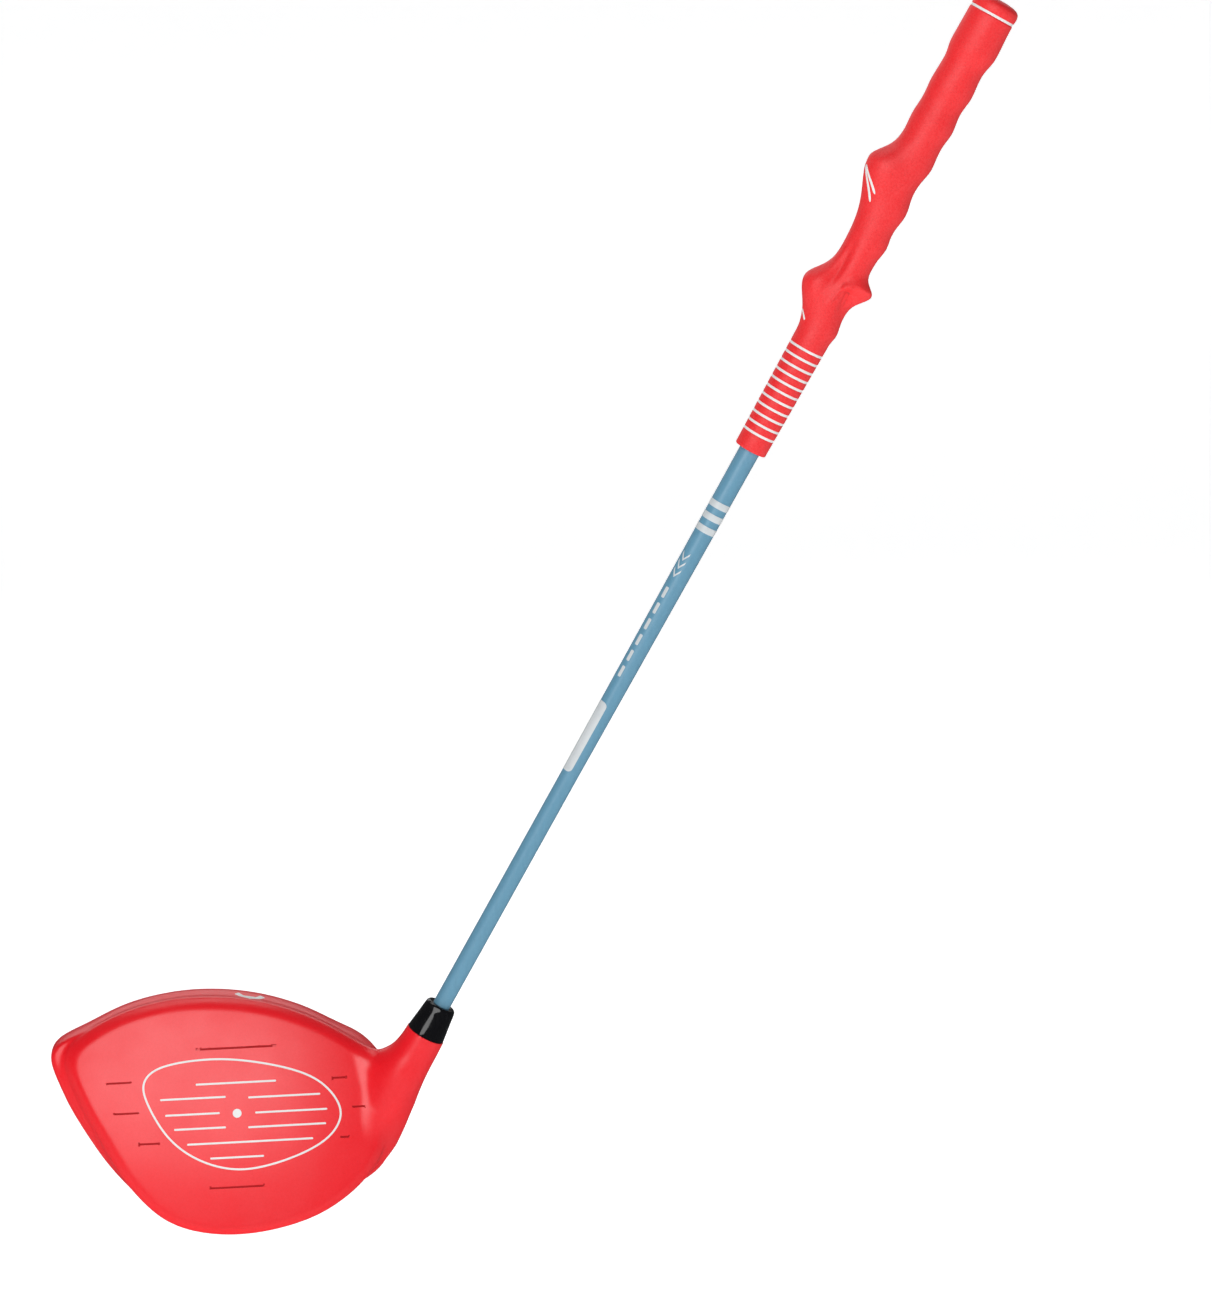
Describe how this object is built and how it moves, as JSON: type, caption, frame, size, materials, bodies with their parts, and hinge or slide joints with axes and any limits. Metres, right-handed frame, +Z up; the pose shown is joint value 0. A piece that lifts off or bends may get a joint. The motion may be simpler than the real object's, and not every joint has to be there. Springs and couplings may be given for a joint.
{
  "type": "junior training golf driver",
  "caption": "Right-handed junior golf driver: oversize hollow head with a lofted face, ferrule, tapered shaft with bands, and a moulded grip that sets the fingers and thumbs.",
  "frame": {"origin": "point on the ground under the middle of the face, with the club at address", "axes": "+Z up, -Y the way the face looks, +X from the toe to the heel; the shaft axis lies in the plane Y = 0, 60 degrees from the ground"},
  "size_m": [0.448, 0.1253, 0.5517],
  "materials": {
    "head_red": "satin moulded plastic",
    "grip_rubber": "matte moulded rubber",
    "shaft_blue": "satin paint",
    "ferrule_black": "polished",
    "ring_white": "matte",
    "film_white": "satin printed film",
    "paint_white": "paint fill",
    "tape": "masking tape",
    "adhesive": "cured resin"
  },
  "bodies": {
    "root": {"shaft": "shaft_blue", "grip_tape": "tape", "grip_body": "grip_rubber", "butt_cap": "grip_rubber", "butt_ring": "ring_white", "ferrule": "ferrule_black", "shaft_adhesive": "adhesive", "shaft_label": "film_white", "hosel": "head_red", "face_crown_shell": "head_red", "sole_shell": "head_red", "face_ring": "paint_white", "face_dot": "paint_white", "crown_mark": "paint_white", "grip_ring_1": "ring_white", "grip_ring_2": "ring_white", "grip_ring_3": "ring_white", "grip_ring_4": "ring_white", "grip_ring_5": "ring_white", "grip_ring_6": "ring_white", "grip_ring_7": "ring_white", "grip_ring_8": "ring_white", "grip_ring_9": "ring_white", "grip_ring_10": "ring_white", "grip_ring_11": "ring_white", "shaft_band_1": "film_white", "shaft_band_2": "film_white", "shaft_band_3": "film_white", "face_line_1": "paint_white", "face_line_2": "paint_white", "face_line_3": "paint_white", "face_line_4": "paint_white", "face_line_5": "paint_white", "face_line_6": "paint_white", "face_line_7": "paint_white", "face_line_8": "paint_white", "face_line_9": "paint_white"}
  },
  "joints": []
}
